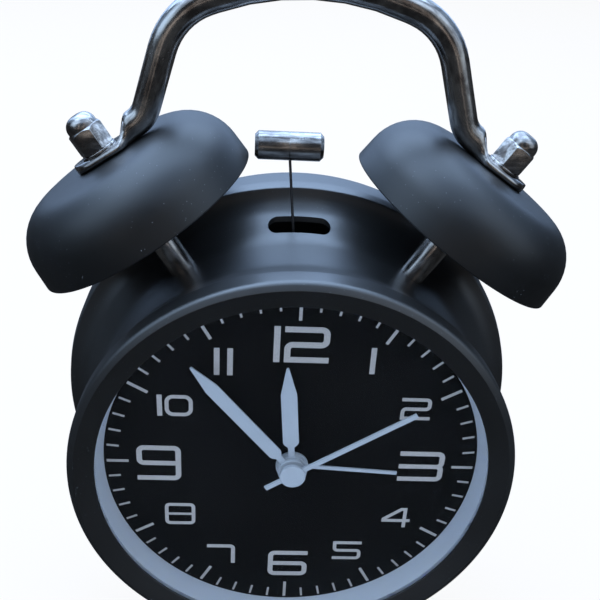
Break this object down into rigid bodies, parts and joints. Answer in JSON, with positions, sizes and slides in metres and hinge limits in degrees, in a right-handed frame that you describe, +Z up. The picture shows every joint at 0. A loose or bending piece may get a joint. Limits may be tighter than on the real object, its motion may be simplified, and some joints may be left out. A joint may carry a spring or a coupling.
{
  "type": "twin bell alarm clock",
  "caption": "Twin bell alarm clock with a black drum case, tilted shell bells, chrome carrying handle, swinging hammer and lit black dial.",
  "frame": {"origin": "bottom centre of the bounding box, on the surface that the clock stands on", "axes": "+Z up; -Y is the front, where the dial faces; +X is the viewer's right"},
  "size_m": [0.1217, 0.0578, 0.1661],
  "materials": {
    "black_paint": "satin",
    "chrome": "polished",
    "steel": "satin",
    "glass": "gloss",
    "milky_plastic": "satin",
    "dial_black": "matte",
    "lamp": "gloss",
    "grey_plastic": "matte",
    "black_plastic": "matte",
    "rubber": "matte",
    "hand_white": "satin",
    "brass": "satin",
    "copper_wire": "satin",
    "board": "gloss",
    "cell_sleeve": "gloss"
  },
  "bodies": {
    "case": {"case_drum": "black_paint", "front_bezel": "black_paint", "lens": "glass", "light_ring": "milky_plastic", "dial_plate": "dial_black", "light_lamps": "lamp", "movement_housing": "grey_plastic", "dial_carrier": "grey_plastic", "bell_left": "black_paint", "bell_right": "black_paint", "bell_post_left": "chrome", "bell_post_right": "chrome", "tab_washers": "chrome", "cap_nuts": "chrome", "inner_nuts": "steel", "handle": "chrome", "leg_left": "chrome", "leg_right": "chrome", "leg_tip_left": "rubber", "leg_tip_right": "rubber", "rear_heel": "rubber", "striker_bracket": "steel", "striker_coil": "copper_wire", "coil_core": "steel", "back_cover": "black_plastic", "cover_screws": "steel", "cell_lower": "cell_sleeve", "cell_upper": "cell_sleeve", "battery_contacts": "steel", "control_boards": "board"},
    "striker": {"striker_lever": "steel", "hammer_stem": "steel", "hammer_head": "chrome"},
    "second": {"second_hand": "hand_white", "second_arbor": "steel"},
    "minute": {"minute_hand": "hand_white", "minute_arbor": "brass"},
    "hour": {"hour_hand": "hand_white", "hour_arbor": "brass"},
    "alarm": {"alarm_hand": "hand_white", "alarm_arbor": "brass"},
    "time_setter": {"time_knob": "black_plastic", "time_knob_shaft": "steel"},
    "alarm_setter": {"alarm_knob": "black_plastic", "alarm_knob_shaft": "steel"},
    "alarm_slide": {"alarm_switch": "black_plastic"},
    "light_push": {"light_button": "black_plastic"},
    "battery_lid": {"battery_door": "black_plastic"}
  },
  "joints": [
    {"name": "hammer_swing", "type": "hinge", "parent": "case", "child": "striker", "pos_m": [0, 0.0045, 0.0955], "axis": [0, 1, 0], "range_deg": [-1.6, 12.4]},
    {"name": "time_knob_turn", "type": "hinge", "parent": "case", "child": "time_setter", "pos_m": [-0.016, 0.0212, 0.076], "axis": [0, 1, 0], "continuous": true},
    {"name": "minute_turn", "type": "hinge", "parent": "case", "child": "minute", "pos_m": [0, 0, 0.0605], "axis": [0, 1, 0], "continuous": true},
    {"name": "hour_turn", "type": "hinge", "parent": "case", "child": "hour", "pos_m": [0, 0, 0.0605], "axis": [0, 1, 0], "continuous": true},
    {"name": "second_turn", "type": "hinge", "parent": "case", "child": "second", "pos_m": [0, 0, 0.0605], "axis": [0, 1, 0], "continuous": true},
    {"name": "alarm_knob_turn", "type": "hinge", "parent": "case", "child": "alarm_setter", "pos_m": [0.016, 0.0212, 0.076], "axis": [0, 1, 0], "continuous": true},
    {"name": "alarm_turn", "type": "hinge", "parent": "case", "child": "alarm", "pos_m": [0, 0, 0.0605], "axis": [0, 1, 0], "continuous": true},
    {"name": "alarm_switch_slide", "type": "slide", "parent": "case", "child": "alarm_slide", "axis": [1, 0, 0], "range_m": [-0.004, 0]},
    {"name": "light_button_press", "type": "slide", "parent": "case", "child": "light_push", "axis": [0, -1, 0], "range_m": [0, 0.0015], "stiffness_N_per_m": 300},
    {"name": "battery_door_swing", "type": "hinge", "parent": "case", "child": "battery_lid", "pos_m": [0, 0.019, 0.0273], "axis": [-1, 0, 0], "range_deg": [0, 95]}
  ],
  "couplings": [
    {"joint": "minute_turn", "follows": "time_knob_turn", "ratio": -1},
    {"joint": "hour_turn", "follows": "time_knob_turn", "ratio": -0.083333},
    {"joint": "alarm_turn", "follows": "alarm_knob_turn", "ratio": -0.33333}
  ]
}
